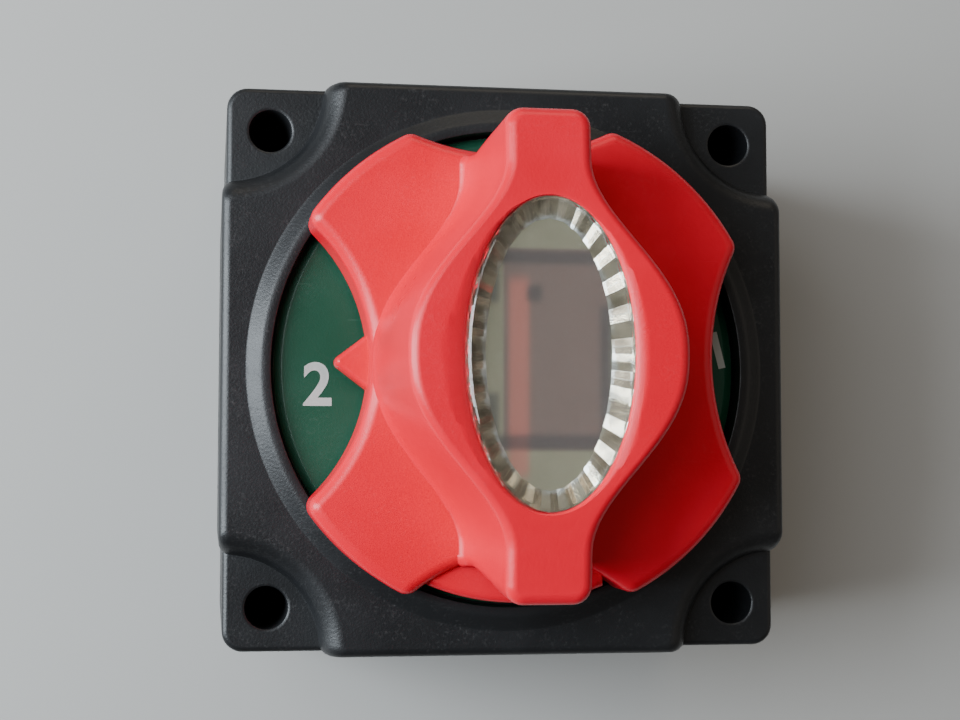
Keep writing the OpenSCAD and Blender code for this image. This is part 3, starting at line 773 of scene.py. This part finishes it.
def rings_from(start, levels):
    """The handle's rings at levels counted from a starting height."""
    rings = []
    for rise, mid, tip, end_low, end_high, corner, crown in levels:
        rings.append(handle_ring(start + rise * mm, mid * mm, tip * mm, end_low * mm, end_high * mm,
                                 corner * mm, crown * handle_crown))
    return rings


handle_rings = rings_from(wing_z, foot_levels) + rings_from(handle_z, top_levels)
for z, inset in rounded_edge(handle_z, 1.25 * mm, 6):
    handle_rings.append(handle_ring(z, 15.2 * mm - inset, 4.7 * mm - inset, handle_end - inset,
                                    handle_end - inset, 2.0 * mm - inset, handle_crown))


def handle_solid():
    """The handle with a crowned top, laid across in strips from side to side."""
    bm = loft(handle_rings)
    lid = max(bm.faces, key=lambda face: face.calc_center_median().z)
    rim = sorted(lid.verts, key=lambda v: v.co.y)
    bmesh.ops.delete(bm, geom=[lid], context="FACES_ONLY")
    rows = [sorted(pair, key=lambda v: v.co.x) for pair in zip(rim[0::2], rim[1::2])]
    for near, far in zip(rows, rows[1:]):
        bm.faces.new((near[0], near[1], far[1], far[0]))
    bmesh.ops.recalc_face_normals(bm, faces=bm.faces)
    return bm


def oval_ring(z, half_w, half_l, count=96):
    turns = [full_turn * i / count for i in range(count)]
    return [(half_w * math.cos(a), half_l * math.sin(a), z) for a in turns]


tooth_tip = (-20.5 * mm, 0.3 * mm)
tooth_root = -15 * mm


def tooth():
    """Pointer: a rounded triangular tooth with eased top edges."""
    rings = []
    for z, inset in [(skirt_z + 0.05 * mm, 0), (skirt_z + 2.3 * mm, 0), (skirt_z + 2.9 * mm, 0.15 * mm),
                     (skirt_z + 3.2 * mm, 0.5 * mm)]:
        tip = arc(tooth_tip, 0.8 * mm - inset, math.radians(118), math.radians(242), 6)
        base = [(tooth_root, -4.9 * mm + inset), (tooth_root, 5.5 * mm - inset)]
        rings.append([(x, y, z) for x, y in tip + base])
    return loft(rings)


ledge_top = wing_z - 1.5 * mm
ledge_radius = 27.7 * mm
ledge_back = -20 * mm


def lower_ledge():
    """Step under the handle's lower end that ties the two lower wings together."""
    rings = []
    for z, inset in rounded_edge(ledge_top, 1.0 * mm, 5):
        rim = arc((0, 0), ledge_radius - inset, math.radians(247.6), math.radians(291), 20)
        back = [(rim[-1][0], ledge_back), (rim[0][0], ledge_back)]
        rings.append([(x, y, z) for x, y in rim + back])
    low = [(x, y, skirt_z + 0.05 * mm) for x, y, z in rings[0]]
    return loft([low] + rings)


lens_low, lens_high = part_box("knob_lens")
lens_half_w = lens_high.x
lens_half_l = lens_high.y
seat_gap = 0.08 * mm
card_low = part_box("label_card")[0].z
# Seat of the window: height, and growth of the oval in mm
seat_levels = [(card_low, 0), (handle_z - 0.9 * mm, 0), (handle_z - 0.7 * mm, 0.12),
               (handle_z - 0.5 * mm, 0.4), (handle_z - 0.3 * mm, 1.0), (handle_z - 0.12 * mm, 1.9),
               (handle_z - 0.02 * mm, 3.0), (handle_z + 2 * mm, 4.0)]
seat = loft([oval_ring(z, lens_half_w + seat_gap + grow * mm, lens_half_l + seat_gap + grow * mm)
             for z, grow in seat_levels])

wall = 2.4 * mm
hub_radius = 10 * mm
under_low = skirt_z - 2 * mm
under_top = wing_z - wall
under = round_bar(wing_radius - wall, skirt_z - mm, under_top, 96)
under = cut(under, round_bar(hub_radius, under_low, under_top + mm),
            *[placed(round_bar(radius + wall, under_low, under_top + mm, 96),
                     shift(distance * math.cos(math.radians(way)), distance * math.sin(math.radians(way))))
              for way, distance, radius in wing_cuts])
slot_y = 16.2 * mm
slot_half_w, slot_half_l = 2.6 * mm, 4.2 * mm
slot_top = skirt_z + 17 * mm
core_slots = joined([block((-slot_half_w, side * slot_y - slot_half_l, skirt_z - mm),
                           (slot_half_w, side * slot_y + slot_half_l, slot_top), 0.4 * mm)
                     for side in (-1, 1)])
tang_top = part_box("drive_shaft")[1].z
tang_radius = 5.55 * mm
tang_flat = 4.25 * mm
past_tang = 8 * mm
flats = [block((low, -past_tang, under_low), (high, past_tang, tang_top + mm))
         for low, high in ((-past_tang, -tang_flat), (tang_flat, past_tang))]
shaft_socket = cut(round_bar(tang_radius, skirt_z - mm, tang_top), *flats)
well_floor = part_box("knob_washer")[0].z
screw_passage_radius = 2.8 * mm
screw_well_radius = 6.6 * mm
screw_passage = round_bar(screw_passage_radius, tang_top - mm, well_floor + mm, 32)
screw_well = round_bar(screw_well_radius, well_floor, card_low + mm)

knob_shape = add(loft(wing_rings), lower_ledge(), tooth(), handle_solid())
knob_shape = cut(knob_shape, under, core_slots, shaft_socket, screw_passage, screw_well, seat)
red_shell = finish_with_marks("red_shell", (0.66, 0.0015, 0.018), (0.72, 0.003, 0.023), (0.85, 0.07, 0.10),
                              rough=0.27, rough_cloud=0.08, grain_depth=0.00002, edge_share=0.25,
                              dust_share=0.015, scratch_share=0.08, grain_scale=2600.0, shine=0.36)
finished("knob_body", knob_shape, "rotor", red_shell, ["knob"], crease=38)

# ---------------------------------------------------------------- window
# The clear acrylic lens that drops into the handle's oval seat. Its border is cut in small
# facets on the underside, and a silvered ring behind them makes them sparkle; the ring's
# mottled beige tint is painted reflection and its bluish-white edges are painted glints.
facets = 28
facet_splits = 4
facet_width = 2.3 * mm
facet_rise = 0.85 * mm
facet_dip = 0.45 * mm
lens_points = facet_splits * facets


def facet_ring(z, inset, dip=0.0):
    """Oval of straight facets inside the window's edge, each one dipping to its middle."""
    corners = oval_ring(z, lens_half_w - inset, lens_half_l - inset, facets)
    points = []
    for near, far in zip(corners, corners[1:] + corners[:1]):
        for i in range(facet_splits):
            point = Vector(near).lerp(Vector(far), i / facet_splits)
            points.append((point.x, point.y, z - dip * (1 - abs(2 * i / facet_splits - 1))))
    return points


lens_rings = [facet_ring(lens_low.z + 0.03 * mm, facet_width),
              facet_ring(lens_low.z + facet_rise + 0.03 * mm, 0.05 * mm, facet_dip),
              oval_ring(lens_low.z + facet_rise + 0.15 * mm, lens_half_w, lens_half_l, lens_points)]
lens_rings += [oval_ring(z, lens_half_w - inset, lens_half_l - inset, lens_points)
               for z, inset in rounded_edge(lens_high.z - 0.25 * mm, 0.6 * mm, 5)]
# The low dome of the lens: drop under its top, and how far in from each side, in mm
for drop, in_w, in_l in ((0.12, 2.5, 2.5), (0.03, 5, 6), (0, 8, 13)):
    lens_rings.append(oval_ring(lens_high.z - drop * mm, lens_half_w - in_w * mm, lens_half_l - in_l * mm,
                                lens_points))
clear_acrylic = bpy.data.materials.new("clear_acrylic")
clear_acrylic.use_nodes = True
acrylic_tree = clear_acrylic.node_tree
acrylic = acrylic_tree.nodes["Principled BSDF"]
acrylic.inputs["Base Color"].default_value = (0.93, 0.95, 0.94, 1)
acrylic.inputs["Transmission Weight"].default_value = 1.0
acrylic.inputs["IOR"].default_value = 1.49
haze = acrylic_tree.nodes.new("ShaderNodeGroup")
haze.node_tree = handling
acrylic_rough = graded(acrylic_tree, haze.outputs["Cloud"], 0.3, 0.8, 0.03, 0.09)
acrylic_tree.links.new(acrylic_rough, acrylic.inputs["Roughness"])
rubs = put(acrylic_tree, "ShaderNodeBump", {"Height": haze.outputs["Scratch"], "Strength": 0.25,
                                            "Distance": 0.00002})
acrylic_tree.links.new(rubs.outputs[0], acrylic.inputs["Normal"])
let_through = put(acrylic_tree, "ShaderNodeBsdfTransparent", {"Color": (0.9, 0.92, 0.9, 1)})
lamp_rays = acrylic_tree.nodes.new("ShaderNodeLightPath")
shadow_mix = put(acrylic_tree, "ShaderNodeMixShader", {0: lamp_rays.outputs["Is Shadow Ray"],
                                                       1: acrylic.outputs[0], 2: let_through.outputs[0]})
acrylic_tree.links.new(shadow_mix.outputs[0], acrylic_tree.nodes["Material Output"].inputs["Surface"])
finished("window_lens", loft(lens_rings), "rotor", clear_acrylic, ["knob_lens"], crease=12)

# The silvered ring: its two flat ends are taken out and bridged into a tube
ring_bm = loft([facet_ring(lens_low.z, facet_width), facet_ring(lens_low.z, 0.1 * mm),
                facet_ring(lens_low.z + facet_rise, 0.1 * mm, facet_dip)])
flat_faces = [face for face in ring_bm.faces if len(face.verts) > 4]
bmesh.ops.delete(ring_bm, geom=flat_faces, context="FACES_ONLY")
open_edges = [edge for edge in ring_bm.edges if len(edge.link_faces) == 1]
bmesh.ops.bridge_loops(ring_bm, edges=open_edges)
bmesh.ops.recalc_face_normals(ring_bm, faces=ring_bm.faces)
# Mirror tint: beige with a fine dark mottle, a painted reflection of the border; the bluish-white edge colour
# paints glints along the facets.
silvering = finish_with_marks("silvered_facets_painted_glints", (0.42, 0.36, 0.27), (0.17, 0.14, 0.10), (0.80, 0.84, 0.88),
                              rough=0.08, rough_cloud=0.12, grain_depth=0.00001, metal=0.75,
                              dust_share=0.0, scratch_share=0.05, cloud_scale=420.0)
finished("facet_silvering", ring_bm, "rotor", silvering, crease=3)

# ---------------------------------------------------------------- label card
# A printed card under the window: a plain panel with a coloured stripe, dark oblongs and a
# pale border, and no lettering. The two dark oblongs at its left edge are painted shade along
# the window's left rim.
card_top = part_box("label_card")[1].z - 0.03 * mm
card_half_w = lens_half_w - 0.15 * mm
card_half_l = lens_half_l - 0.15 * mm
card_bm = loft([oval_ring(card_low, card_half_w, card_half_l), oval_ring(card_top, card_half_w, card_half_l)])
card_print_and_shade = bpy.data.materials.new("card_print_and_shade")
card_print_and_shade.use_nodes = True
card_tree = card_print_and_shade.node_tree
card_skin = card_tree.nodes["Principled BSDF"]
card_marks = card_tree.nodes.new("ShaderNodeGroup")
card_marks.node_tree = handling
card_place = card_tree.nodes.new("ShaderNodeTexCoord").outputs["Object"]
card_axes = put(card_tree, "ShaderNodeSeparateXYZ", {0: card_place})


def band(value, low, high, soft):
    """1 between low and high (in mm), easing to 0 outside."""
    rise = graded(card_tree, value, (low - soft) * mm, (low + soft) * mm)
    fall = graded(card_tree, value, (high + soft) * mm, (high - soft) * mm)
    return maths(card_tree, "MULTIPLY", rise, fall)


def oblong_patch(under, patch_colour, strength, span_x, span_y, soft_x=0.5, soft_y=0.5):
    """The card's colour with a soft-edged oblong of another colour laid over it."""
    patch = maths(card_tree, "MULTIPLY", band(card_axes.outputs["X"], *span_x, soft_x),
                  band(card_axes.outputs["Y"], *span_y, soft_y))
    return blended(card_tree, maths(card_tree, "MULTIPLY", patch, strength), under, (*patch_colour, 1))


card_colour = blended(card_tree, graded(card_tree, card_marks.outputs["Cloud"], 0.3, 0.7),
                      (0.115, 0.102, 0.068, 1), (0.150, 0.132, 0.092, 1))
card_colour = oblong_patch(card_colour, (0.088, 0.058, 0.050), 1.0, (-4.9, 6.4), (-10.2, 11.2), 0.25, 0.25)
card_colour = oblong_patch(card_colour, (0.24, 0.075, 0.058), 0.75, (-4.3, -2.2), (-13, 8), 0.5, 1.0)
# Dark oblongs: bands along the top, bottom and right of the panel, two at its left edge that are painted
# shade along the window's left rim, and a small spot.
for span_x, span_y in (((-6.4, 6.0), (9.6, 11.0)), ((-6.4, 6.0), (-10.2, -8.6)), ((5.5, 6.9), (-9.6, 5.2)),
                       ((-8.0, -5.4), (5.4, 8.6)), ((-8.0, -5.4), (-8.4, -4.2)), ((-2.5, -0.8), (5.6, 7.3))):
    card_colour = oblong_patch(card_colour, (0.030, 0.026, 0.028), 0.7, span_x, span_y)
card_tree.links.new(card_colour, card_skin.inputs["Base Color"])
card_skin.inputs["Roughness"].default_value = 0.55
fibres = put(card_tree, "ShaderNodeBump", {"Height": card_marks.outputs["Grain"], "Strength": 0.6,
                                           "Distance": 0.00002})
card_tree.links.new(fibres.outputs[0], card_skin.inputs["Normal"])
finished("window_card", card_bm, "rotor", card_print_and_shade, ["label_card"])

# ---------------------------------------------------------------- metal, seals and cam
# The turned, pressed, wound and moulded pieces inside keep their machined shapes and only
# take finishes: tinned and bare copper, stainless steel, nitrile rubber, acetal and nylon.
tinned_copper = finish_with_marks("tinned_copper", (0.62, 0.58, 0.54), (0.55, 0.48, 0.42), (0.80, 0.62, 0.48),
                                  rough=0.28, rough_cloud=0.15, grain_depth=0.00002, metal=1.0,
                                  dust_share=0.05)
bare_copper = finish_with_marks("bare_copper", (0.72, 0.36, 0.22), (0.55, 0.25, 0.15), (0.90, 0.55, 0.38),
                                rough=0.26, rough_cloud=0.2, grain_depth=0.00002, metal=1.0, dust_share=0.03)
stainless = finish_with_marks("stainless", (0.60, 0.60, 0.61), (0.50, 0.50, 0.52), (0.78, 0.78, 0.79),
                              rough=0.24, rough_cloud=0.16, grain_depth=0.00002, metal=1.0, dust_share=0.05)
nitrile = finish_with_marks("nitrile", (0.014, 0.014, 0.015), (0.022, 0.022, 0.023), (0.05, 0.05, 0.05),
                            rough=0.55, rough_cloud=0.15, grain_depth=0.00004, dust_share=0.15)
acetal = finish_with_marks("acetal", (0.70, 0.69, 0.63), (0.62, 0.61, 0.55), (0.80, 0.79, 0.74),
                           rough=0.35, rough_cloud=0.1, grain_depth=0.00002)
finishes = {"stud_copper": tinned_copper, "contact_copper": bare_copper, "stainless": stainless,
            "seal_rubber": nitrile, "cam_nylon": acetal, "black_plastic": black_nylon}
node_slots = {part["node"]: part["material_slot"] for part in frame["record"]["subparts"]}
for node, piece in frame["nodes"].items():
    if not piece.hide_render:
        piece.data.materials.clear()
        piece.data.materials.append(finishes[node_slots[node]])
